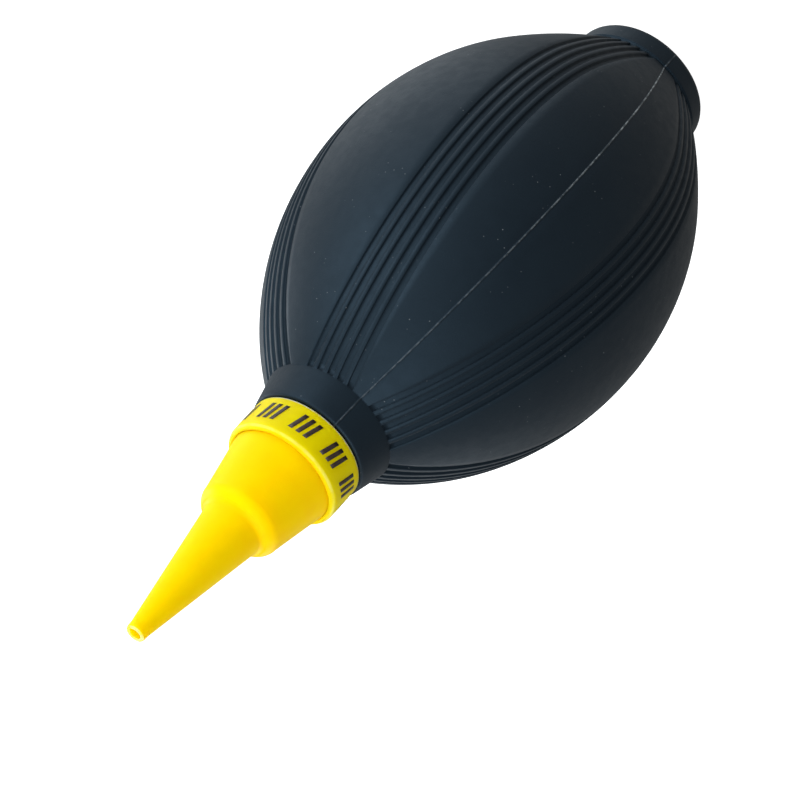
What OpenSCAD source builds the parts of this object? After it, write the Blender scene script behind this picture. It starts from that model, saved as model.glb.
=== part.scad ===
// Dust blower bulb for watch work.
// A ribbed rubber bulb with a short neck and a foot ring, a tapered nozzle held
// by a screwed collar, an outlet valve in the neck and an intake valve in the foot.
// Everything is turned about +Z. The foot rests on z = 0 and the nozzle points up.

/* [Bulb] */
// Largest radius of the bulb
bulb_r = 31; // [29:0.5:33]
// Height of the widest point above the resting face
equator_z = 49.2; // [48:0.2:50]
// Radius of the arc that runs from the widest point up to the neck
front_arc_r = 60; // [59:0.5:61]
// Radius of the arc that runs down from the widest point
rear_arc_r = 56.5; // [56:0.5:58]
// Angle of the lower arc, before the flatter tail begins
rear_arc_angle = 28.5; // [28:0.25:29]
// Radius of the flatter tail that runs on to the foot
tail_arc_r = 115; // [110:1:120]
// Thickness of the rubber wall
wall = 2.6; // [2.4:0.1:2.8]

/* [Grip ribs] */
// Number of bands of grooves round the bulb
bands = 6; // [4:1:6]
// Grooves in one band
grooves = 5; // [3:1:5]
// Distance from one groove to the next
groove_pitch = 1.85; // [1.7:0.05:1.9]
// Width of a groove
groove_w = 1.1; // [0.8:0.1:1.2]
// Depth of a groove
groove_depth = 0.4; // [0.3:0.1:0.7]

/* [Neck and foot] */
// Height of the crease where the neck leaves the bulb
crease_z = 93.6; // [93.2:0.2:94]
// Height of the neck's rim
neck_top_z = 99.2; // [99.0:0.1:99.4]
// Radius of the neck at its rim
neck_rim_r = 10.2; // [10:0.1:10.6]
// Height of the foot ring
foot_h = 4.8; // [4.6:0.1:5]
// Largest radius of the foot ring
foot_r = 12.9; // [12.7:0.1:13.2]
// Outer radius of the flat resting face
foot_base_r = 10.8; // [10.6:0.1:11]

/* [Nozzle and collar] */
// Height of the nozzle's tip
tip_z = 142.5; // [138:0.5:146]
// Outer radius of the tip
tip_r = 1.6; // [1.5:0.05:1.8]
// Radius of the outlet hole
outlet_r = 1; // [0.8:0.1:1.1]
// Radius where the long cone meets the shoulder
cone_r = 5.1; // [4.8:0.05:5.3]
// Height where the long cone meets the shoulder
cone_z = 118.5; // [118.1:0.1:119]
// Radius of the barrel under the shoulder
barrel_front_r = 7.05; // [7:0.05:7.3]
// Height of the barrel's front edge
barrel_front_z = 116.1; // [115.6:0.1:116.6]
// Radius of the barrel where it leaves the collar
barrel_rear_r = 8.9; // [8.7:0.05:8.9]
// Outer radius of the collar
collar_r = 9.9; // [9.9:0.05:10]
// Height of the collar's front face
collar_top_z = 106.4; // [106.4:0.1:106.6]
// Height of the collar's rear face
collar_bottom_z = 99.4; // [99.4:0.05:99.5]

/* [Valves] */
// Radius of a valve seat disc
seat_r = 6.15; // [6:0.05:6.15]
// Thickness of a valve seat disc
seat_t = 1.4; // [1.2:0.1:1.4]
// Radius of a valve flap
flap_r = 4.2; // [4:0.1:4.4]
// Thickness of a valve flap
flap_t = 0.5; // [0.4:0.1:0.6]
// How far a flap lifts off its seat
flap_lift = 1.4; // [1:0.1:1.4]
// Air holes in a valve seat
seat_holes = 6; // [4:1:6]

/* [Hidden] */

$fn = 180;
arc_fn = 360;             // for the arcs of the outlines
hole_fn = 48;             // for small holes and pins

fit = 0.05;               // radial clearance of a fit
eps = 0.01;
reach = 200;              // longer than anything it clips

// Bulb
front_centre_r = bulb_r - front_arc_r;
rear_centre_r = bulb_r - rear_arc_r;
tail_centre_r = rear_centre_r + (rear_arc_r - tail_arc_r) * cos(rear_arc_angle);
tail_centre_z = equator_z - (rear_arc_r - tail_arc_r) * sin(rear_arc_angle);
cavity_floor_z = 6.4;
cavity_roof_z = 87.6;
neck_bore_r = 7.45;
foot_bore_r = 8.2;
foot_recess_r = 9.5;
foot_recess_h = 1.9;
foot_corner_r = 1.7;
foot_edge_drop = 0.2;     // the foot's top edge slopes down this far to its rim
groove_end_gap = 0.4;     // smooth rubber between a groove's end and the neck or foot

// Neck bush
bush_flange_r = 9.2;      // carries the thread for the collar
bush_top_z = 103.9;
bush_bore_r = 5;
bush_pocket_r = seat_r + fit;
bush_barb_r = 7.85;
bush_foot_z = 88.4;
barb_h = 1.2;

// Collar
collar_bore_r = bush_flange_r + fit;
collar_lip_t = 0.9;
collar_lip_r = barrel_rear_r + fit;
collar_round = 0.8;

// Nozzle
flange_r = 9.2;
flange_t = 0.75;
gasket_t = 0.85;
gasket_r = 9.1;
nozzle_bottom_z = bush_top_z + gasket_t;
nozzle_wall = 1.5;
straight_bore = 6;        // the outlet hole's straight stretch
tip_round = 0.35;

// Valve seats and their guide pins
outlet_seat_z = 96;
intake_seat_z = 3.6;
hole_ring_r = 2.9;
hole_r = 0.85;
pin_r = 0.8;
pin_head_r = 1.7;
pin_head_t = 0.6;
flap_hole_r = 1.1;

// Intake
intake_bottom_z = 0.7;
intake_bush_top_z = 7.9;
intake_lower_flange_t = 1.1;
intake_upper_flange_t = 1.3;
intake_lower_flange_r = foot_recess_r - fit;
intake_upper_flange_r = 9.6;
intake_sleeve_r = foot_bore_r - fit;
filter_z = 2.5;
filter_t = 1.05;
filter_r = 6.1;
cap_z = 0.8;
cap_t = 1.6;
cap_r = 6.15;
cap_holes = 6;            // in a ring, with one more in the middle
cap_hole_r = 0.75;
cap_hole_ring_r = 3.6;
cap_dish_r = 5;
cap_dish_depth = 0.5;

black_rubber = [0.12, 0.14, 0.17];
yellow_plastic = [0.98, 0.88, 0.05];
grey_plastic = [0.35, 0.36, 0.38];
clear_silicone = [0.85, 0.86, 0.84];
white_felt = [0.92, 0.91, 0.88];

// A disc clipped to the heights z0 to z1, on the right of the axis.
module disc_slice(centre_r, centre_z, r, z0, z1) {
    intersection() {
        translate([centre_r, centre_z]) circle(r, $fn = arc_fn);
        translate([0, z0]) square([reach, z1 - z0]);
    }
}

// Half outline of the egg shape, moved inwards by inset.
module egg(inset = 0) {
    joint_z = equator_z - (rear_arc_r - inset) * sin(rear_arc_angle);
    disc_slice(front_centre_r, equator_z, front_arc_r - inset, equator_z, reach);
    disc_slice(rear_centre_r, equator_z, rear_arc_r - inset, joint_z, equator_z);
    disc_slice(tail_centre_r, tail_centre_z, tail_arc_r - inset, -reach, joint_z);
}

// Radius of the egg's tail at height z.
function tail_r(z) = tail_centre_r + sqrt(pow(tail_arc_r, 2) - pow(z - tail_centre_z, 2));

// Radius of the egg's front at height z.
function front_r(z) = front_centre_r + sqrt(pow(front_arc_r, 2) - pow(z - equator_z, 2));

module foot_outline() {
    difference() {
        union() {
            square([foot_base_r, foot_corner_r]);
            translate([foot_base_r, foot_corner_r]) circle(foot_corner_r, $fn = arc_fn);
            polygon([
                [0, foot_corner_r],
                [foot_base_r + foot_corner_r, foot_corner_r],
                [foot_r, foot_h - foot_edge_drop],
                [tail_r(foot_h), foot_h],
                [0, foot_h]
            ]);
        }
        translate([0, -reach]) square([reach, reach]);
    }
}

module bulb_outline() {
    intersection() {
        egg();
        translate([0, foot_h - eps]) square([reach, crease_z - foot_h + 2 * eps]);
    }
    polygon([
        [0, crease_z],
        [front_r(crease_z), crease_z],
        [neck_rim_r, neck_top_z],
        [0, neck_top_z]
    ]);
    foot_outline();
}

module cavity_outline() {
    intersection() {
        egg(wall);
        translate([0, cavity_floor_z]) square([reach, cavity_roof_z - cavity_floor_z]);
    }
    square([foot_bore_r, cavity_floor_z + eps]);
    translate([0, -1]) square([foot_recess_r, foot_recess_h + 1]);
    translate([0, cavity_roof_z - eps]) square([neck_bore_r, reach]);
    translate([0, cavity_roof_z - eps]) square([bush_barb_r + fit, bush_foot_z + barb_h - cavity_roof_z + fit]);
}

// One band: parallel slots, all as deep as groove_depth below the egg.
module groove_band() {
    groove_bottom_z = foot_h + groove_end_gap;
    groove_top_z = crease_z - groove_end_gap;
    for (i = [0 : grooves - 1]) {
        side = (i - (grooves - 1) / 2) * groove_pitch;
        translate([0, side - groove_w / 2, groove_bottom_z])
            cube([reach, groove_w, groove_top_z - groove_bottom_z]);
    }
}

module groove_cutters() {
    difference() {
        for (k = [0 : bands - 1]) rotate([0, 0, k * 360 / bands]) groove_band();
        rotate_extrude() egg(groove_depth);
    }
}

module bulb() {
    color(black_rubber)
    difference() {
        rotate_extrude() difference() {
            bulb_outline();
            cavity_outline();
        }
        groove_cutters();
    }
}

// Sleeve in the rubber neck, with a barb at its foot and a threaded head.
module neck_bush() {
    color(grey_plastic)
    rotate_extrude() difference() {
        union() {
            translate([0, bush_foot_z]) square([neck_bore_r - fit, bush_top_z - bush_foot_z]);
            translate([0, neck_top_z]) square([bush_flange_r, bush_top_z - neck_top_z]);
            polygon([
                [0, bush_foot_z],
                [neck_bore_r - fit, bush_foot_z],
                [bush_barb_r, bush_foot_z + barb_h],
                [0, bush_foot_z + barb_h]
            ]);
        }
        translate([0, bush_foot_z - 1]) square([bush_bore_r, reach]);
        translate([0, outlet_seat_z]) square([bush_pocket_r, reach]);
    }
}

// Disc with air holes and a headed pin that guides a loose flap.
module valve_seat(z) {
    stem = seat_t + flap_t + flap_lift;
    translate([0, 0, z]) {
        difference() {
            cylinder(r = seat_r, h = seat_t);
            for (k = [0 : seat_holes - 1]) {
                rotate([0, 0, k * 360 / seat_holes])
                translate([hole_ring_r, 0, -1])
                    cylinder(r = hole_r, h = seat_t + 2, $fn = hole_fn);
            }
        }
        cylinder(r = pin_r, h = stem + eps, $fn = hole_fn);
        translate([0, 0, stem]) cylinder(r = pin_head_r, h = pin_head_t, $fn = hole_fn);
    }
}

module valve_flap(z) {
    translate([0, 0, z])
    difference() {
        cylinder(r = flap_r, h = flap_t);
        translate([0, 0, -1]) cylinder(r = flap_hole_r, h = flap_t + 2, $fn = hole_fn);
    }
}

module outlet_valve_seat() {
    color(grey_plastic) valve_seat(outlet_seat_z);
}

module outlet_flap() {
    color(clear_silicone) valve_flap(outlet_seat_z + seat_t);
}

module nozzle_gasket() {
    color(black_rubber)
    translate([0, 0, bush_top_z])
    difference() {
        cylinder(r = gasket_r, h = gasket_t);
        translate([0, 0, -1]) cylinder(r = bush_pocket_r, h = gasket_t + 2);
    }
}

// Flange, tapered barrel, rounded shoulder and long cone, with a bore to match.
module nozzle() {
    flange_top_z = nozzle_bottom_z + flange_t;
    shoulder_r = cone_z - barrel_front_z;
    color(yellow_plastic)
    rotate_extrude() difference() {
        union() {
            translate([0, nozzle_bottom_z]) square([flange_r, flange_t]);
            polygon([
                [0, nozzle_bottom_z],
                [barrel_rear_r, nozzle_bottom_z],
                [barrel_rear_r, collar_top_z],
                [barrel_front_r, barrel_front_z],
                [cone_r, barrel_front_z],
                [cone_r, cone_z],
                [tip_r, tip_z - tip_round],
                [tip_r - tip_round, tip_z],
                [0, tip_z]
            ]);
            intersection() {
                translate([barrel_front_r - shoulder_r, barrel_front_z]) circle(shoulder_r, $fn = arc_fn);
                translate([0, barrel_front_z - eps]) square([reach, shoulder_r + eps]);
            }
        }
        polygon([
            [0, nozzle_bottom_z - 1],
            [bush_pocket_r, nozzle_bottom_z - 1],
            [bush_pocket_r, collar_top_z],
            [barrel_front_r - nozzle_wall, barrel_front_z - nozzle_wall],
            [cone_r - nozzle_wall, cone_z - nozzle_wall],
            [outlet_r, tip_z - straight_bore],
            [outlet_r, tip_z + 1],
            [0, tip_z + 1]
        ]);
    }
}

// Screwed ring whose lip holds the nozzle's flange down on the gasket.
module nozzle_collar() {
    color(yellow_plastic)
    rotate_extrude() difference() {
        union() {
            translate([0, collar_bottom_z]) square([collar_r, collar_top_z - collar_round - collar_bottom_z]);
            translate([0, collar_bottom_z]) square([collar_r - collar_round, collar_top_z - collar_bottom_z]);
            translate([collar_r - collar_round, collar_top_z - collar_round]) circle(collar_round, $fn = arc_fn);
        }
        translate([0, collar_bottom_z - 1])
            square([collar_bore_r, collar_top_z - collar_lip_t - collar_bottom_z + 1]);
        translate([0, collar_bottom_z - 1]) square([collar_lip_r, reach]);
    }
}

// Grommet-shaped plug that grips the rubber foot between two flanges.
module intake_bush() {
    shelf_z = intake_seat_z + seat_t;
    color(grey_plastic)
    rotate_extrude() difference() {
        union() {
            translate([0, intake_bottom_z]) square([intake_sleeve_r, intake_bush_top_z - intake_bottom_z]);
            translate([0, intake_bottom_z]) square([intake_lower_flange_r, intake_lower_flange_t]);
            translate([0, intake_bush_top_z - intake_upper_flange_t])
                square([intake_upper_flange_r, intake_upper_flange_t]);
        }
        translate([0, intake_bottom_z - 1]) square([bush_pocket_r, shelf_z - intake_bottom_z + 1]);
        translate([0, intake_bottom_z - 1]) square([bush_bore_r, reach]);
    }
}

module intake_valve_seat() {
    color(grey_plastic) valve_seat(intake_seat_z);
}

module intake_flap() {
    color(clear_silicone) valve_flap(intake_seat_z + seat_t);
}

module intake_filter() {
    color(white_felt)
    translate([0, 0, filter_z]) cylinder(r = filter_r, h = filter_t);
}

// Vented cap, dished underneath, that snaps into the intake bush.
module intake_cap() {
    color(yellow_plastic)
    translate([0, 0, cap_z])
    difference() {
        cylinder(r = cap_r, h = cap_t);
        translate([0, 0, -1]) cylinder(r = cap_dish_r, h = cap_dish_depth + 1);
        for (k = [0 : cap_holes - 1]) {
            rotate([0, 0, (k + 0.5) * 360 / cap_holes])
            translate([cap_hole_ring_r, 0, -1])
                cylinder(r = cap_hole_r, h = cap_t + 2, $fn = hole_fn);
        }
        translate([0, 0, -1]) cylinder(r = cap_hole_r, h = cap_t + 2, $fn = hole_fn);
    }
}

bulb();
neck_bush();
outlet_valve_seat();
outlet_flap();
nozzle_gasket();
nozzle();
nozzle_collar();
intake_bush();
intake_valve_seat();
intake_flap();
intake_filter();
intake_cap();
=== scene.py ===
import math

import bpy
from mathutils import Matrix, Vector, noise


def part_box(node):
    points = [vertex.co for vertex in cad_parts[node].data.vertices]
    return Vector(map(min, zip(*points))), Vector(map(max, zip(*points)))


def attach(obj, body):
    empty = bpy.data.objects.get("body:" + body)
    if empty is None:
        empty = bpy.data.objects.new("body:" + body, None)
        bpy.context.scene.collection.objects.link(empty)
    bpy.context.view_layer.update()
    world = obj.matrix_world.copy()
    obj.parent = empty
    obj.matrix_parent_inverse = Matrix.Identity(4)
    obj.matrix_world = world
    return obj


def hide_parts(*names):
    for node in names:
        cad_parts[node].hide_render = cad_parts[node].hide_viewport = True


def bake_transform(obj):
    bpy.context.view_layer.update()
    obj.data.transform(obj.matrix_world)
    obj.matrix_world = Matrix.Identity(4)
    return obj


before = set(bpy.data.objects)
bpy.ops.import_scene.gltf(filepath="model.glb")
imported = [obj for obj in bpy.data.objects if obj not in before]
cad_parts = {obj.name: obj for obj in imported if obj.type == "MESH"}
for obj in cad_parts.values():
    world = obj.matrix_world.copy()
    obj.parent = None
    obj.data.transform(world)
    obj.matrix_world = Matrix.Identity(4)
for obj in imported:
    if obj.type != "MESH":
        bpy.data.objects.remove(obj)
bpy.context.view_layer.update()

# The object is turned about +Z. It stands on its foot at z = 0, with the nozzle up.
# Outlines are given in millimetres as (radius, height), and meshes are made in metres.
MM = 0.001


def top(node):
    """Height of a CAD node's upper end."""
    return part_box(node)[1].z / MM


def bottom(node):
    """Height of a CAD node's lower end."""
    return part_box(node)[0].z / MM


def radius(node):
    """Largest radius of a CAD node."""
    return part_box(node)[1].x / MM


# ---------------------------------------------------------------- outlines


def arc(centre, size, start, end, steps):
    """Points on an arc, from angle start to angle end in degrees, 0 being straight out from the axis."""
    angles = [math.radians(start + (end - start) * i / steps) for i in range(steps + 1)]
    return [(centre[0] + size * math.cos(a), centre[1] + size * math.sin(a)) for a in angles]


def rounded(corners, steps=5):
    """An open outline through (radius, height, rounding) corners, each corner rounded by its own radius."""
    points = []
    for i, (r, z, rounding) in enumerate(corners):
        corner = Vector((r, z))
        if rounding == 0 or i in (0, len(corners) - 1):
            points.append((r, z))
            continue
        before = (Vector(corners[i - 1][:2]) - corner).normalized()
        after = (Vector(corners[i + 1][:2]) - corner).normalized()
        half = before.angle(after) / 2
        centre = corner + (before + after).normalized() * rounding / math.sin(half)
        first = corner + before * rounding / math.tan(half) - centre
        turn = first.angle_signed(corner + after * rounding / math.tan(half) - centre)
        for k in range(steps + 1):
            spoke = first.copy()
            spoke.rotate(Matrix.Rotation(-turn * k / steps, 2))
            points.append(tuple(centre + spoke))
    return points


def divided(points, step):
    """The same outline with every straight piece cut into lengths of at most step."""
    fine = [points[0]]
    for a, b in zip(points, points[1:]):
        pieces = max(1, math.ceil(math.dist(a, b) / step))
        for k in range(1, pieces + 1):
            fine.append((a[0] + (b[0] - a[0]) * k / pieces, a[1] + (b[1] - a[1]) * k / pieces))
    return fine


# ---------------------------------------------------------------- meshes


def new_piece(name, vertices, faces):
    """A smooth-shaded piece, from vertices in millimetres."""
    mesh = bpy.data.meshes.new(name)
    mesh.from_pydata([Vector(v) * MM for v in vertices], [], faces)
    mesh.validate()
    mesh.polygons.foreach_set("use_smooth", [True] * len(mesh.polygons))
    piece = bpy.data.objects.new(name, mesh)
    bpy.context.scene.collection.objects.link(piece)
    return piece


def grid_faces(rows, columns):
    """Quads of a grid that is closed round the axis and along the outline."""
    faces = []
    for i in range(rows):
        above = (i + 1) % rows
        for j in range(columns):
            right = (j + 1) % columns
            faces.append((i * columns + j, i * columns + right, above * columns + right, above * columns + j))
    return faces


def turned(name, outline, columns=160):
    """A closed solid of revolution. The outline runs up the outside, and down the inside if it is hollow.

    An outline that starts and ends on the axis makes a solid piece, with one vertex at each pole.
    """
    solid = outline[0][0] == 0
    rows = outline[1:-1] if solid else outline
    vertices = []
    for r, z in rows:
        for j in range(columns):
            angle = 2 * math.pi * j / columns
            vertices.append((r * math.cos(angle), r * math.sin(angle), z))
    faces = grid_faces(len(rows), columns)
    if solid:
        faces = faces[:-columns]
        low_pole = len(vertices)
        high_pole = low_pole + 1
        vertices += [(0, 0, outline[0][1]), (0, 0, outline[-1][1])]
        last = (len(rows) - 1) * columns
        for j in range(columns):
            right = (j + 1) % columns
            faces.append((low_pole, right, j))
            faces.append((high_pole, last + j, last + right))
    return new_piece(name, vertices, faces)


# ---------------------------------------------------------------- the rubber bulb

BULB_R = radius("bulb")
EQUATOR_Z = 49.2
FRONT_ARC_R = 60.0
REAR_ARC_R = 56.5
REAR_ARC_ANGLE = 28.5
TAIL_ARC_R = 115.0
WALL = 2.6

CREASE_Z = 93.6
NECK_TOP_Z = top("bulb")
NECK_RIM_R = 10.2
NECK_BORE_R = 7.45
BARB_POCKET_R = 7.9
BARB_POCKET_Z = 89.65
CAVITY_ROOF_Z = 87.6

FOOT_H = 4.8
FOOT_R = 12.9
FOOT_EDGE_Z = 4.6
FOOT_BASE_R = 10.8
FOOT_CORNER_R = 1.7
FOOT_RECESS = (9.5, 1.9)
FOOT_BORE_R = 8.2
CAVITY_FLOOR_Z = 6.4

BANDS = 6
GROOVES = 5
GROOVE_PITCH = 1.85
GROOVE_DEPTH = 0.4
# Half of a groove's cross-section: (distance from its middle line, share of the full depth).
GROOVE_SECTION = [(0.0, 0.96), (0.46, 1.0), (0.52, 0.96), (0.54, 0.1), (0.58, 0.0)]
# The body's rows start this far from the foot's top and from the neck's crease, and the grooves as far again.
GROOVE_END = 0.12
BAND_HALF = (GROOVES - 1) / 2 * GROOVE_PITCH + GROOVE_SECTION[-1][0]
# Grooves keep their width down to this radius, and narrow with the bulb where it is thinner.
NARROWEST_R = 11.0

# The mould's parting line: a thin ridge of flash in a shallow dip, on the sides facing -Y and +Y.
# Half of its cross-section: (distance from its middle line, share of the full height).
FLASH_HALF = [(0.0, 1.0), (0.06, 0.85), (0.12, 0.1), (0.22, -0.7), (0.4, 0.0)]
FLASH_HEIGHT = 0.1

# The foot's top ends this far outside the body, and the neck begins this far inside it.
FOOT_STEP = 0.05
NECK_STEP = 0.02
# Rows of the mesh along the tail, rear and front arcs, outside and inside.
OUTER_STEPS = (26, 34, 62)
INNER_STEPS = (6, 8, 16)
# Longest row on the foot and the neck.
ROW_LENGTH = 0.8
# Steps between a panel's middle and the bands of grooves at its sides.
PANEL_STEPS = 7


def tail_centre():
    """Centre of the flat arc that runs down to the foot from the end of the rear arc."""
    joint = math.radians(REAR_ARC_ANGLE)
    rear_centre_r = BULB_R - REAR_ARC_R
    return (
        rear_centre_r + (REAR_ARC_R - TAIL_ARC_R) * math.cos(joint),
        EQUATOR_Z - (REAR_ARC_R - TAIL_ARC_R) * math.sin(joint),
    )


def egg(inset, low_z, high_z, steps_per_arc):
    """The egg shape's outline from low_z up to high_z, moved inwards by inset."""
    centre = tail_centre()
    tail_r = TAIL_ARC_R - inset
    rear_r = REAR_ARC_R - inset
    front_r = FRONT_ARC_R - inset
    low = math.degrees(math.asin((low_z - centre[1]) / tail_r))
    high = math.degrees(math.asin((high_z - EQUATOR_Z) / front_r))
    tail = arc(centre, tail_r, low, -REAR_ARC_ANGLE, steps_per_arc[0])
    rear = arc((BULB_R - REAR_ARC_R, EQUATOR_Z), rear_r, -REAR_ARC_ANGLE, 0, steps_per_arc[1])
    front = arc((BULB_R - FRONT_ARC_R, EQUATOR_Z), front_r, 0, high, steps_per_arc[2])
    return tail + rear[1:] + front[1:]


def bulb_outline():
    """Rows of the bulb's mesh, each (radius, height, groove share).

    They run from the foot's recess up the outside and down the inside.
    """
    body = egg(0, FOOT_H + GROOVE_END, CREASE_Z - GROOVE_END, OUTER_STEPS)
    grooved = egg(0, FOOT_H + 2 * GROOVE_END, CREASE_Z - 2 * GROOVE_END, OUTER_STEPS)
    foot = rounded([
        (*FOOT_RECESS, 0),
        (FOOT_RECESS[0], 0, 0.3),
        (FOOT_BASE_R, 0, 0),
    ])
    foot += arc((FOOT_BASE_R, FOOT_CORNER_R), FOOT_CORNER_R, -90, 0, 8)[1:]
    foot += rounded([
        (FOOT_BASE_R + FOOT_CORNER_R, FOOT_CORNER_R, 0),
        (FOOT_R, FOOT_EDGE_Z, 0.12),
        (body[0][0] + FOOT_STEP, FOOT_H, 0),
    ])[1:]
    neck = rounded([
        (body[-1][0] - NECK_STEP, CREASE_Z, 0),
        (NECK_RIM_R, NECK_TOP_Z, 0.45),
        (NECK_BORE_R, NECK_TOP_Z, 0.2),
        (NECK_BORE_R, BARB_POCKET_Z, 0),
    ])
    inner_egg = egg(WALL, CAVITY_FLOOR_Z, CAVITY_ROOF_Z, INNER_STEPS)
    inside = rounded([
        (BARB_POCKET_R, BARB_POCKET_Z, 0),
        (BARB_POCKET_R, CAVITY_ROOF_Z, 0.3),
        (inner_egg[-1][0], CAVITY_ROOF_Z, 0),
    ])
    inside += inner_egg[-2:0:-1]
    inside += rounded([
        (inner_egg[0][0], CAVITY_FLOOR_Z, 0),
        (FOOT_BORE_R, CAVITY_FLOOR_Z, 0.3),
        (FOOT_BORE_R, FOOT_RECESS[1], 0),
    ])
    rows = [(r, z, 0.0) for r, z in divided(foot, ROW_LENGTH)]
    rows += [(*body[0], 0.0)]
    rows += [(r, z, 1.0) for r, z in grooved]
    rows += [(*body[-1], 0.0)]
    rows += [(r, z, 0.0) for r, z in divided(neck, ROW_LENGTH)]
    rows += [(r, z, 0.0) for r, z in inside]
    return rows


def sector_columns():
    """Columns of the bulb's mesh for one sixth of the way round, from one panel's middle to the next.

    Each is (kind, position, groove share, flash share).
    """
    columns = [("edge", x, 0.0, share) for x, share in FLASH_HALF]
    columns += [("panel_in", k / PANEL_STEPS, 0.0, 0.0) for k in range(1, PANEL_STEPS)]
    for g in range(GROOVES):
        middle = (g - (GROOVES - 1) / 2) * GROOVE_PITCH
        half = [(middle + x, share) for x, share in GROOVE_SECTION]
        mirrored = [(middle - x, share) for x, share in GROOVE_SECTION[:0:-1]]
        columns += [("band", x, share, 0.0) for x, share in mirrored + half]
    columns += [("panel_out", k / PANEL_STEPS, 0.0, 0.0) for k in range(1, PANEL_STEPS)]
    columns += [("edge", -x, 0.0, share) for x, share in FLASH_HALF[:0:-1]]
    return columns


def column_angle(sector, kind, position, r):
    """A column's angle round the axis, in radians, where the bulb's radius is r.

    The grooves of a band keep their distance from each other, so their angles depend on the radius.
    """
    reach = max(r, NARROWEST_R)
    middle = math.radians(sector * 360 / BANDS)
    half_sector = math.pi / BANDS
    band_edge = math.asin(BAND_HALF / reach)
    flash_edge = FLASH_HALF[-1][0] / reach
    if kind == "band":
        return middle + math.asin(position / reach)
    if kind == "panel_in":
        return middle - half_sector + flash_edge + (half_sector - flash_edge - band_edge) * position
    if kind == "panel_out":
        return middle + band_edge + (half_sector - flash_edge - band_edge) * position
    if position < 0:
        return middle + half_sector + position / reach
    return middle - half_sector + position / reach


def flash_ridge(sector, position, z):
    """Height of the flash above the rubber. Only the two panels on the parting plane have any."""
    half_sector = 180 / BANDS
    side = -half_sector if position >= 0 else half_sector
    at_line = sector * 360 / BANDS + side
    if round(at_line) % 180 != 90:
        return 0.0
    waves = 0.5 * noise.noise(Vector((z * 0.9, at_line, 0)))
    nicks = 0.3 * noise.noise(Vector((z * 3.1, 0, at_line)))
    return FLASH_HEIGHT * (0.75 + waves + nicks)


def hand_moulded(angle, z):
    """Slow unevenness of the soft rubber wall."""
    height = 0.03
    waves_per_radius = 1.7
    spot = Vector((math.cos(angle), math.sin(angle), z / BULB_R)) * waves_per_radius
    return height * noise.noise(spot)


def make_bulb():
    """The rubber moulding, with its grooves and flash as rows and columns of the mesh."""
    rows = bulb_outline()
    columns = [(sector, *column) for sector in range(BANDS) for column in sector_columns()]
    first_inside = next(i for i, row in enumerate(rows) if row[0] == NECK_BORE_R)
    vertices = []
    for i, (r, z, groove_share) in enumerate(rows):
        ahead = rows[(i + 1) % len(rows)]
        behind = rows[i - 1]
        along = Vector((ahead[0] - behind[0], ahead[1] - behind[1])).normalized()
        normal = Vector((along.y, -along.x))
        for sector, kind, position, depth, flash in columns:
            angle = column_angle(sector, kind, position, r)
            lift = -GROOVE_DEPTH * depth * groove_share
            if groove_share > 0:
                lift += hand_moulded(angle, z)
            if i < first_inside and flash != 0 and z > FOOT_CORNER_R:
                lift += flash * flash_ridge(sector, position, z)
            out = r + normal.x * lift
            vertices.append((out * math.cos(angle), out * math.sin(angle), z + normal.y * lift))
    return new_piece("bulb_skin", vertices, grid_faces(len(rows), len(columns)))


# ---------------------------------------------------------------- nozzle, collar and neck bush

NOZZLE_BOTTOM_Z = bottom("nozzle")
TIP_Z = top("nozzle")
FLANGE_R = radius("nozzle")
FLANGE_T = 0.75
BARREL_REAR_R = 8.9
BARREL_FRONT = (7.05, 116.1)
CONE = (5.1, 118.5)
TIP_R = 1.6
OUTLET_R = 1.0
OUTLET_DEPTH = 6.0
NOZZLE_WALL = 1.5
NOZZLE_POCKET_R = 6.2

COLLAR_R = radius("nozzle_collar")
COLLAR_BOTTOM_Z = bottom("nozzle_collar")
COLLAR_TOP_Z = top("nozzle_collar")
COLLAR_LIP_T = 0.9
COLLAR_LIP_R = 8.95
COLLAR_BORE_R = 9.25

BUSH_TOP_Z = top("neck_bush")
BUSH_BOTTOM_Z = bottom("neck_bush")
THREAD_CREST_R = radius("neck_bush")
THREAD_ROOT_R = 8.55
THREAD_PITCH = 1.5
THREAD_ROWS_PER_PITCH = 12
# Half the thread's width at its root, as a share of the pitch, and how steeply its flanks rise.
THREAD_HALF = 0.32
THREAD_FLANK = 5
# The thread starts and runs out over this height.
THREAD_FADE = 0.6
BUSH_BORE_R = 5.0
BUSH_POCKET_R = 6.2
BUSH_POCKET_Z = 96.0
SLEEVE_R = 7.4
BARB_R = 7.85
BARB_H = 1.2


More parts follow.
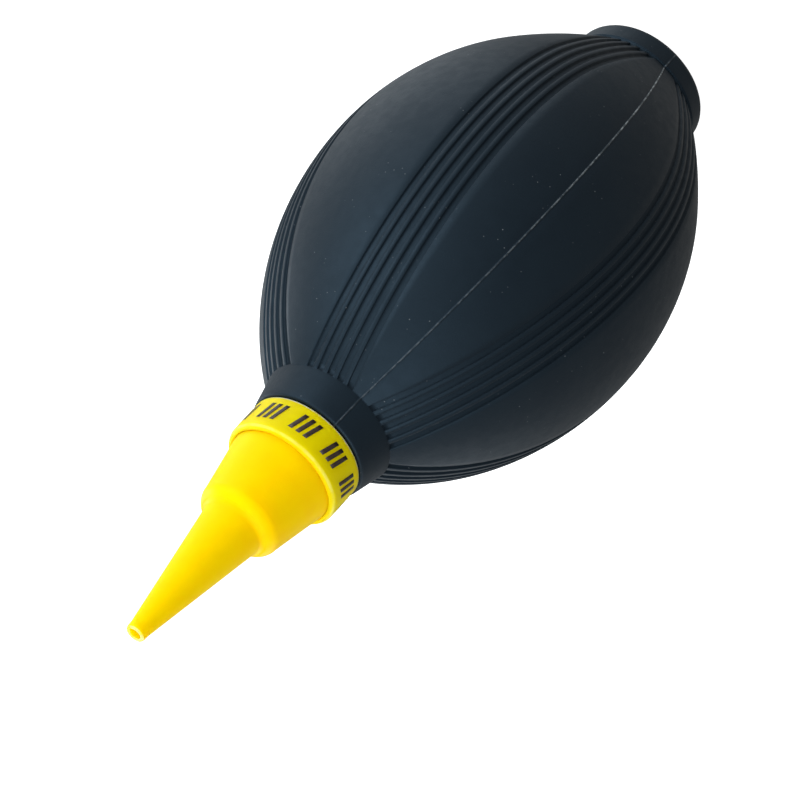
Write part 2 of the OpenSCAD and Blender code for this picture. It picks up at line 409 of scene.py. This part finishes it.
def make_nozzle():
    """Flange, barrel, rounded shoulder and cone outside, and a stepped bore inside."""
    shoulder = CONE[1] - BARREL_FRONT[1]
    outside = rounded([
        (NOZZLE_POCKET_R, NOZZLE_BOTTOM_Z, 0),
        (FLANGE_R, NOZZLE_BOTTOM_Z, 0.1),
        (FLANGE_R, NOZZLE_BOTTOM_Z + FLANGE_T, 0.1),
        (BARREL_REAR_R, NOZZLE_BOTTOM_Z + FLANGE_T, 0),
        (BARREL_REAR_R, COLLAR_TOP_Z - 0.3, 0.2),
        (*BARREL_FRONT, 0),
    ])
    outside += arc((BARREL_FRONT[0] - shoulder, BARREL_FRONT[1]), shoulder, 5, 62, 12)
    outside += rounded([
        (*outside[-1], 0),
        (CONE[0] + 0.06, CONE[1] + 0.06, 1.2),
        (TIP_R + 0.05, TIP_Z - 1.2, 4),
        (TIP_R, TIP_Z - 0.1, 0.3),
        (TIP_R - 0.2, TIP_Z, 0.12),
        (OUTLET_R + 0.05, TIP_Z, 0.1),
        (OUTLET_R, TIP_Z - 0.3, 0),
    ])
    inside = rounded([
        (OUTLET_R, TIP_Z - OUTLET_DEPTH, 0),
        (CONE[0] - NOZZLE_WALL, CONE[1] - NOZZLE_WALL, 0),
        (BARREL_FRONT[0] - NOZZLE_WALL, BARREL_FRONT[1] - NOZZLE_WALL, 0.5),
        (NOZZLE_POCKET_R, COLLAR_TOP_Z, 0),
    ])
    return turned("nozzle_cone", divided(outside + inside, 1.5))


def make_collar():
    """Ring with a lip at the top, which holds the nozzle's flange down."""
    outline = rounded([
        (COLLAR_BORE_R, COLLAR_BOTTOM_Z, 0.1),
        (COLLAR_R, COLLAR_BOTTOM_Z, 0.3),
        (COLLAR_R, COLLAR_TOP_Z, 0.8),
        (COLLAR_LIP_R, COLLAR_TOP_Z, 0.15),
        (COLLAR_LIP_R, COLLAR_TOP_Z - COLLAR_LIP_T, 0),
        (COLLAR_BORE_R, COLLAR_TOP_Z - COLLAR_LIP_T, 0),
    ], steps=8)
    return turned("collar_ring", outline)


MARKS = 10
BARS_PER_MARK = 3
BAR_W = 0.75
BAR_GAP = 0.6
BAR_SLANT = 0.9
BAR_Z = (100.9, 104.3)
INK_T = 0.03


def make_marks():
    """Generic slanted bars printed round the collar, in groups."""
    vertices, faces = [], []
    across, up = 3, 4
    for mark in range(MARKS):
        for bar in range(BARS_PER_MARK):
            start = len(vertices)
            side = (bar - (BARS_PER_MARK - 1) / 2) * (BAR_W + BAR_GAP)
            for layer in (COLLAR_R - INK_T, COLLAR_R + INK_T):
                for i in range(up + 1):
                    z = BAR_Z[0] + (BAR_Z[1] - BAR_Z[0]) * i / up
                    lean = BAR_SLANT * (i / up - 0.5)
                    for j in range(across + 1):
                        arc_mm = side + lean + BAR_W * (j / across - 0.5)
                        angle = 2 * math.pi * mark / MARKS + arc_mm / COLLAR_R
                        vertices.append((layer * math.cos(angle), layer * math.sin(angle), z))
            faces += slab_faces(start, up + 1, across + 1)
    return new_piece("collar_marks", vertices, faces)


def slab_faces(start, rows, columns):
    """Faces of a closed slab made of two parallel grids of points, the inner one first."""
    faces = []
    outer = start + rows * columns
    for i in range(rows - 1):
        for j in range(columns - 1):
            a = i * columns + j
            quad = (a, a + 1, a + columns + 1, a + columns)
            faces.append(tuple(outer + k for k in quad))
            faces.append(tuple(start + k for k in reversed(quad)))
    rim = list(range(columns))
    rim += [i * columns + columns - 1 for i in range(1, rows)]
    rim += [(rows - 1) * columns + j for j in range(columns - 2, -1, -1)]
    rim += [i * columns for i in range(rows - 2, 0, -1)]
    for a, b in zip(rim, rim[1:] + rim[:1]):
        faces.append((start + a, start + b, outer + b, outer + a))
    return faces


def make_neck_bush():
    """The bush with its real thread: a helix on the head, and a barbed sleeve below it."""
    columns = 128
    sleeve = rounded([
        (BUSH_BORE_R, BUSH_BOTTOM_Z, 0.2),
        (SLEEVE_R, BUSH_BOTTOM_Z, 0),
        (BARB_R, BUSH_BOTTOM_Z + BARB_H, 0.1),
        (SLEEVE_R, BUSH_BOTTOM_Z + BARB_H, 0),
        (SLEEVE_R, NECK_TOP_Z, 0),
        (THREAD_ROOT_R, NECK_TOP_Z, 0),
    ])
    inside = rounded([
        (THREAD_ROOT_R, BUSH_TOP_Z, 0.2),
        (BUSH_POCKET_R, BUSH_TOP_Z, 0.1),
        (BUSH_POCKET_R, BUSH_POCKET_Z, 0),
        (BUSH_BORE_R, BUSH_POCKET_Z, 0),
    ])
    thread_rows = round((BUSH_TOP_Z - NECK_TOP_Z) / THREAD_PITCH * THREAD_ROWS_PER_PITCH)
    vertices = []

    def ring(radius_at, z):
        for j in range(columns):
            angle = 2 * math.pi * j / columns
            r = radius_at(angle, z)
            vertices.append((r * math.cos(angle), r * math.sin(angle), z))

    def thread_radius(angle, z):
        phase = (z / THREAD_PITCH - angle / (2 * math.pi)) % 1.0
        flank = min(1.0, max(0.0, (THREAD_HALF - abs(phase - 0.5)) * THREAD_FLANK))
        fade = min(1.0, (z - NECK_TOP_Z) / THREAD_FADE, (BUSH_TOP_Z - z) / THREAD_FADE)
        return THREAD_ROOT_R + (THREAD_CREST_R - THREAD_ROOT_R) * flank * max(0.0, fade)

    for r, z in sleeve:
        ring(lambda angle, z, r=r: r, z)
    for i in range(1, thread_rows):
        ring(thread_radius, NECK_TOP_Z + (BUSH_TOP_Z - NECK_TOP_Z) * i / thread_rows)
    for r, z in inside:
        ring(lambda angle, z, r=r: r, z)
    return new_piece("neck_bush_threaded", vertices, grid_faces(len(vertices) // columns, columns))


# ---------------------------------------------------------------- intake

CAP_R = radius("intake_cap")
CAP_Z = (bottom("intake_cap"), top("intake_cap"))
CAP_DISH = (5.0, 0.5)  # (radius, depth)
CAP_HOLES = 6
CAP_HOLE_R = 0.75
CAP_HOLE_RING_R = 3.6
CAP_HOLE_FLARE = 0.25


def make_cap():
    """Dished disc with vent holes that flare at both ends."""
    low, high = CAP_Z
    cap = turned("vent_cap", rounded([
        (0, low + CAP_DISH[1], 0),
        (CAP_DISH[0], low + CAP_DISH[1], 0.3),
        (CAP_DISH[0] + 0.1, low, 0.15),
        (CAP_R, low, 0.3),
        (CAP_R, high, 0.2),
        (0, high, 0),
    ]), columns=96)
    middles = [(0, 0)]
    for k in range(CAP_HOLES):
        angle = 2 * math.pi * (k + 0.5) / CAP_HOLES
        middles.append((CAP_HOLE_RING_R * math.cos(angle), CAP_HOLE_RING_R * math.sin(angle)))
    low_end_r = CAP_HOLE_R + CAP_HOLE_FLARE
    high_end_r = CAP_HOLE_R + CAP_HOLE_FLARE / 2
    # The cutter reaches 1 mm past the disc at both ends.
    hole = [
        (0, low - 1),
        (low_end_r, low - 1),
        (low_end_r, low + CAP_DISH[1]),
        (CAP_HOLE_R, low + CAP_DISH[1] + CAP_HOLE_FLARE),
        (CAP_HOLE_R, high - CAP_HOLE_FLARE / 2),
        (high_end_r, high),
        (high_end_r, high + 1),
        (0, high + 1),
    ]
    for x, y in middles:
        cutter = turned("cutter", hole, columns=32)
        cutter.location = (x * MM, y * MM, 0)
        cut = cap.modifiers.new("hole", "BOOLEAN")
        cut.operation = "DIFFERENCE"
        cut.object = cutter
        apply_modifiers(cap)
        bpy.data.objects.remove(cutter)
    return cap


def apply_modifiers(piece):
    """Put the piece's modified mesh in the place of its own."""
    bpy.context.view_layer.update()
    evaluated = piece.evaluated_get(bpy.context.evaluated_depsgraph_get())
    mesh = bpy.data.meshes.new_from_object(evaluated)
    piece.modifiers.clear()
    piece.data = mesh


def make_filter():
    """Felt disc with a soft, uneven surface."""
    low, high, size = bottom("intake_filter"), top("intake_filter"), radius("intake_filter")
    edge_rounding = 0.35
    row_length = 0.35
    tufts_per_mm = 2.5
    deepest_tuft = 0.012
    outline = rounded([
        (0, low, 0),
        (size, low, edge_rounding),
        (size, high, edge_rounding),
        (0, high, 0),
    ])
    felt = turned("felt_filter", divided(outline, row_length), columns=120)
    middle = Vector((0, 0, (low + high) / 2)) * MM
    for vertex in felt.data.vertices:
        tuft = noise.fractal(vertex.co / MM * tufts_per_mm, 0.8, 2.0, 3)
        vertex.co = middle + (vertex.co - middle) * (1 - deepest_tuft * abs(tuft))
    return felt


# ---------------------------------------------------------------- materials


class Shader:
    """A material being built. The methods that make a value add a node and return its output."""

    def __init__(self, name):
        self.material = bpy.data.materials.new(name)
        self.material.use_nodes = True
        self.nodes = self.material.node_tree.nodes
        self.links = self.material.node_tree.links
        self.surface = self.nodes["Principled BSDF"]
        self.position = self.nodes.new("ShaderNodeTexCoord").outputs["Object"]

    def set(self, **sockets):
        """Fixed values of the surface's sockets, with underscores for the spaces in their names."""
        for name, value in sockets.items():
            self.surface.inputs[name.replace("_", " ")].default_value = value

    def link(self, output, socket):
        self.links.new(output, self.surface.inputs[socket])

    def noise(self, size_mm, detail=4.0, roughness=0.55):
        """Noise from 0 to 1 whose blobs are about size_mm across."""
        node = self.nodes.new("ShaderNodeTexNoise")
        node.inputs["Scale"].default_value = 1 / (size_mm * MM)
        node.inputs["Detail"].default_value = detail
        node.inputs["Roughness"].default_value = roughness
        self.links.new(self.position, node.inputs["Vector"])
        return node.outputs["Fac"]

    def specks(self, size_mm, share):
        """Spots of 1 on 0: one in every cell of size_mm, with share as the spot's radius in cells."""
        node = self.nodes.new("ShaderNodeTexVoronoi")
        node.inputs["Scale"].default_value = 1 / (size_mm * MM)
        self.links.new(self.position, node.inputs["Vector"])
        return self.ramp(node.outputs["Distance"], share * 0.6, share, 1.0, 0.0)

    def ramp(self, value, low, high, to_low, to_high):
        """Smooth step from to_low, where value is low or less, to to_high, where it is high or more."""
        node = self.nodes.new("ShaderNodeMapRange")
        node.interpolation_type = "SMOOTHSTEP"
        self.links.new(value, node.inputs["Value"])
        node.inputs["From Min"].default_value = low
        node.inputs["From Max"].default_value = high
        node.inputs["To Min"].default_value = to_low
        node.inputs["To Max"].default_value = to_high
        return node.outputs["Result"]

    def math(self, operation, a, b):
        """Each of a and b is a number or another node's output."""
        node = self.nodes.new("ShaderNodeMath")
        node.operation = operation
        for socket, value in zip(node.inputs, (a, b)):
            if isinstance(value, (int, float)):
                socket.default_value = value
            else:
                self.links.new(value, socket)
        return node.outputs["Value"]

    def mix(self, share, a, b):
        """Colour a where share is 0, b where it is 1. Each is an RGB triple or another node's output."""
        node = self.nodes.new("ShaderNodeMix")
        node.data_type = "RGBA"
        self.links.new(share, node.inputs["Factor"])
        # The node's sockets for numbers and vectors have the same names, so the colour ones go by index.
        for socket, colour in ((node.inputs[6], a), (node.inputs[7], b)):
            if isinstance(colour, tuple):
                socket.default_value = (*colour, 1.0)
            else:
                self.links.new(colour, socket)
        return node.outputs[2]

    def axis(self, name):
        """One coordinate of the object, in metres."""
        node = self.nodes.new("ShaderNodeSeparateXYZ")
        self.links.new(self.position, node.inputs["Vector"])
        return node.outputs[name]

    def bump(self, height, depth_mm):
        """Small relief: height from 0 to 1 stands for depth_mm."""
        node = self.nodes.new("ShaderNodeBump")
        node.inputs["Strength"].default_value = 1.0
        node.inputs["Distance"].default_value = depth_mm * MM
        self.links.new(height, node.inputs["Height"])
        self.links.new(node.outputs["Normal"], self.surface.inputs["Normal"])


def black_rubber():
    s = Shader("black_rubber")
    cloudy = s.ramp(s.noise(9.0), 0.3, 0.7, 0.0, 1.0)
    colour = s.mix(cloudy, (0.0026, 0.0044, 0.0068), (0.0033, 0.0055, 0.008))
    # Pale, broken dust on the flash of the parting line, which lies in the plane x = 0.
    # It wears off towards the neck, and is faint on the foot ring.
    from_line = s.math("ABSOLUTE", s.axis("X"), 0)
    on_line = s.ramp(from_line, 0.00006, 0.00016, 1.0, 0.0)
    broken = s.ramp(s.noise(1.2, 2.0), 0.4, 0.62, 0.2, 1.0)
    worn = s.math("MULTIPLY", broken, s.ramp(s.axis("Z"), 0.012, 0.075, 1.0, 0.15))
    worn = s.math("MULTIPLY", worn, s.ramp(s.axis("Z"), 0.004, 0.0055, 0.15, 1.0))
    colour = s.mix(s.math("MULTIPLY", on_line, worn), colour, (0.27, 0.29, 0.3))
    dust = s.math("MULTIPLY", s.specks(1.3, 0.09), s.ramp(s.noise(6.0), 0.45, 0.7, 0.0, 0.6))
    colour = s.mix(dust, colour, (0.16, 0.17, 0.175))
    s.link(colour, "Base Color")
    s.link(s.ramp(s.noise(2.0), 0.3, 0.7, 0.54, 0.6), "Roughness")
    s.set(Specular_Tint=(0.46, 0.72, 0.97, 1.0), Specular_IOR_Level=0.32)
    grain = s.math("ADD", s.noise(0.25, 3.0), s.math("MULTIPLY", s.noise(1.4, 2.0), 0.5))
    s.bump(grain, 0.018)
    return s.material


def yellow_plastic(name, low_colour, high_colour, lit_and_worn_edges):
    """Satin plastic. Pale lines run along its edges, each given as (height, half width, strength): painted
    edge highlights, partly real wear.
    """
    s = Shader(name)
    colour = s.mix(s.ramp(s.noise(7.0), 0.3, 0.7, 0.0, 1.0), low_colour, high_colour)
    dust = s.math("MULTIPLY", s.specks(1.6, 0.06), s.ramp(s.noise(4.0), 0.5, 0.7, 0.0, 0.35))
    colour = s.mix(dust, colour, (0.55, 0.45, 0.1))
    patchy = s.ramp(s.noise(2.2), 0.35, 0.6, 0.3, 1.0)
    # Pale lines along the listed edges: painted highlights where an edge catches the light, partly real wear.
    for height, half_width, strength in lit_and_worn_edges:
        from_edge = s.math("ABSOLUTE", s.math("SUBTRACT", s.axis("Z"), height * MM), 0)
        on_edge = s.ramp(from_edge, half_width * MM * 0.5, half_width * MM, strength, 0.0)
        colour = s.mix(s.math("MULTIPLY", on_edge, patchy), colour, (1.0, 0.86, 0.42))
    s.link(colour, "Base Color")
    s.link(s.ramp(s.noise(1.5), 0.3, 0.7, 0.38, 0.5), "Roughness")
    s.set(Subsurface_Weight=0.7, Subsurface_Radius=(1.0, 0.7, 0.1), Subsurface_Scale=0.007)
    s.set(Specular_Tint=(1.0, 0.8, 0.1, 1.0), Specular_IOR_Level=0.1)
    s.bump(s.math("ADD", s.noise(0.6, 3.0), s.noise(3.0, 2.0)), 0.02)
    return s.material


def printed_ink():
    s = Shader("dark_ink")
    patchy = s.ramp(s.noise(0.5), 0.35, 0.65, 0.0, 1.0)
    s.link(s.mix(patchy, (0.012, 0.005, 0.002), (0.026, 0.012, 0.006)), "Base Color")
    s.link(s.ramp(s.noise(0.3), 0.3, 0.7, 0.35, 0.6), "Roughness")
    s.bump(s.noise(0.2), 0.01)
    return s.material


def grey_plastic():
    s = Shader("grey_plastic")
    s.link(s.mix(s.noise(3.0), (0.06, 0.062, 0.068), (0.085, 0.088, 0.094)), "Base Color")
    s.link(s.ramp(s.noise(0.8), 0.3, 0.7, 0.4, 0.55), "Roughness")
    s.bump(s.noise(0.3), 0.015)
    return s.material


def clear_silicone():
    s = Shader("silicone")
    s.link(s.mix(s.noise(2.0), (0.62, 0.63, 0.6), (0.72, 0.72, 0.7)), "Base Color")
    s.link(s.ramp(s.noise(1.0), 0.3, 0.7, 0.3, 0.45), "Roughness")
    s.set(Transmission_Weight=0.35, IOR=1.41)
    s.bump(s.noise(0.4), 0.008)
    return s.material


def gasket_rubber():
    s = Shader("gasket_rubber")
    s.link(s.mix(s.noise(1.5), (0.012, 0.012, 0.013), (0.024, 0.024, 0.025)), "Base Color")
    s.link(s.ramp(s.noise(0.5), 0.3, 0.7, 0.5, 0.7), "Roughness")
    s.bump(s.noise(0.2), 0.02)
    return s.material


def white_felt():
    s = Shader("white_felt")
    fibres = s.noise(0.12, 6.0, 0.7)
    s.link(s.mix(fibres, (0.5, 0.49, 0.46), (0.82, 0.81, 0.78)), "Base Color")
    s.set(Roughness=0.95, Sheen_Weight=0.4)
    s.bump(fibres, 0.12)
    return s.material


# ---------------------------------------------------------------- the pieces, each on its body

BLACK = black_rubber()
YELLOW = yellow_plastic("yellow_plastic", (0.98, 0.505, 0.0), (1.0, 0.54, 0.0), [(TIP_Z, 0.25, 0.5)])
# The collar's pale lines at its rear edge and its front bead are painted edge highlights, partly real wear.
COLLAR_YELLOW = yellow_plastic(
    "collar_plastic",
    (0.95, 0.56, 0.0),
    (1.0, 0.6, 0.002),
    [(COLLAR_BOTTOM_Z, 0.4, 0.9), (COLLAR_TOP_Z - 0.4, 0.25, 0.2)],
)
CAP_YELLOW = yellow_plastic("cap_plastic", (0.95, 0.49, 0.0), (0.98, 0.53, 0.002), [(CAP_Z[0], 0.15, 0.5)])
INK = printed_ink()
GREY = grey_plastic()
SILICONE = clear_silicone()
GASKET = gasket_rubber()
FELT = white_felt()


def place(piece, body, material, replaced=None):
    piece.data.materials.clear()
    piece.data.materials.append(material)
    if body:
        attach(piece, body)
    if replaced:
        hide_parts(replaced)


bulb = make_bulb()
place(bulb, None, BLACK, "bulb")
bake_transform(bulb)
place(make_neck_bush(), "blower", GREY, "neck_bush")
place(make_nozzle(), "nozzle", YELLOW, "nozzle")
place(make_collar(), "nozzle_collar", COLLAR_YELLOW, "nozzle_collar")
place(make_marks(), "nozzle_collar", INK)
place(make_cap(), "intake_cap", CAP_YELLOW, "intake_cap")
place(make_filter(), "intake_unit", FELT, "intake_filter")

CARRIED_OVER = {
    "outlet_valve_seat": GREY,
    "intake_valve_seat": GREY,
    "intake_bush": GREY,
    "outlet_flap": SILICONE,
    "intake_flap": SILICONE,
    "nozzle_gasket": GASKET,
}
for node, material in CARRIED_OVER.items():
    node_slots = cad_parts[node].data.materials
    for i in range(len(node_slots)):
        node_slots[i] = material

# ---------------------------------------------------------------- floor, light and camera


def make_floor():
    """White sheet just under the foot."""
    reach = 3.0
    drop = 0.0002
    mesh = bpy.data.meshes.new("floor")
    corners = [(-reach, -reach, 0), (reach, -reach, 0), (reach, reach, 0), (-reach, reach, 0)]
    mesh.from_pydata(corners, [], [(0, 1, 2, 3)])
    floor = bpy.data.objects.new("floor", mesh)
    bpy.context.scene.collection.objects.link(floor)
    material = bpy.data.materials.new("floor")
    material.use_nodes = True
    surface = material.node_tree.nodes["Principled BSDF"]
    surface.inputs["Base Color"].default_value = (0.5, 0.5, 0.5, 1)
    surface.inputs["Roughness"].default_value = 0.9
    surface.inputs["Emission Color"].default_value = (1, 1, 1, 1)
    surface.inputs["Emission Strength"].default_value = 0.95
    mesh.materials.append(material)
    # Only the camera sees the floor, so that the softbox below it lights the object through it.
    floor.visible_diffuse = False
    floor.visible_glossy = False
    floor.visible_shadow = False
    floor.location.z = -drop


def make_world():
    """White to the camera, dim to the object, so that the softboxes do the lighting."""
    world = bpy.data.worlds.new("studio")
    bpy.context.scene.world = world
    world.use_nodes = True
    nodes, links = world.node_tree.nodes, world.node_tree.links
    dim = nodes["Background"]
    dim.inputs["Color"].default_value = (0.96, 0.95, 0.92, 1)
    dim.inputs["Strength"].default_value = 0.4
    white = nodes.new("ShaderNodeBackground")
    white.inputs["Color"].default_value = (1, 1, 1, 1)
    white.inputs["Strength"].default_value = 1.1
    chooser = nodes.new("ShaderNodeMixShader")
    path = nodes.new("ShaderNodeLightPath")
    links.new(path.outputs["Is Camera Ray"], chooser.inputs["Fac"])
    links.new(dim.outputs["Background"], chooser.inputs[1])
    links.new(white.outputs["Background"], chooser.inputs[2])
    links.new(chooser.outputs["Shader"], nodes["World Output"].inputs["Surface"])


LIGHT_AIM = (0, 0, 0.075)
LIGHT_COLOUR = (0.9, 0.96, 1.0)
# Each softbox: (name, where it stands, (width, height), power in watts), in metres.
SOFTBOXES = [
    ("left_front", (0.56, -0.25, 0.29), (0.45, 0.45), 4.3),
    ("front_high", (-0.12, -0.32, 0.63), (0.45, 0.45), 2.8),
    ("overhead", (-0.22, 0.0, 0.69), (0.45, 0.45), 2.2),
    ("back_left", (0.36, 0.53, 0.23), (0.45, 0.45), 2.7),
    ("back_right", (-0.46, 0.46, 0.11), (0.5, 0.2), 0.8),
    ("low_left", (0.46, 0.06, -0.25), (0.8, 0.45), 1.7),
]


def softbox(name, stand, size, power):
    """Area light that faces the object and that the camera doesn't see."""
    light = bpy.data.lights.new(name, "AREA")
    light.shape = "RECTANGLE"
    light.size, light.size_y = size
    light.energy = power
    light.color = LIGHT_COLOUR
    lamp = bpy.data.objects.new(name, light)
    bpy.context.scene.collection.objects.link(lamp)
    lamp.visible_camera = False
    lamp.location = stand
    lamp.rotation_euler = (Vector(LIGHT_AIM) - Vector(stand)).to_track_quat("-Z", "Y").to_euler()


# The photo's camera, found by fitting the outline. Angles are in degrees and lengths in metres.
CAMERA_LENS = 135.0
CAMERA_AZIMUTH = 6.15
CAMERA_ELEVATION = 33.59
CAMERA_ROLL = -137.93
CAMERA_DISTANCE = 0.4806
CAMERA_AIM = (-0.0069, 0.0100, 0.0743)


def make_camera():
    data = bpy.data.cameras.new("camera")
    data.lens = CAMERA_LENS
    data.clip_start = 0.01
    camera = bpy.data.objects.new("camera", data)
    bpy.context.scene.collection.objects.link(camera)
    turn = Matrix.Rotation(math.radians(CAMERA_AZIMUTH), 4, "Z")
    tilt = Matrix.Rotation(math.radians(90 - CAMERA_ELEVATION), 4, "X")
    roll = Matrix.Rotation(math.radians(CAMERA_ROLL), 4, "Z")
    back = Matrix.Translation((0, 0, CAMERA_DISTANCE))
    camera.matrix_world = Matrix.Translation(CAMERA_AIM) @ turn @ tilt @ roll @ back
    bpy.context.scene.camera = camera


make_floor()
make_world()
for box in SOFTBOXES:
    softbox(*box)
make_camera()
bpy.context.scene.view_settings.view_transform = "Standard"
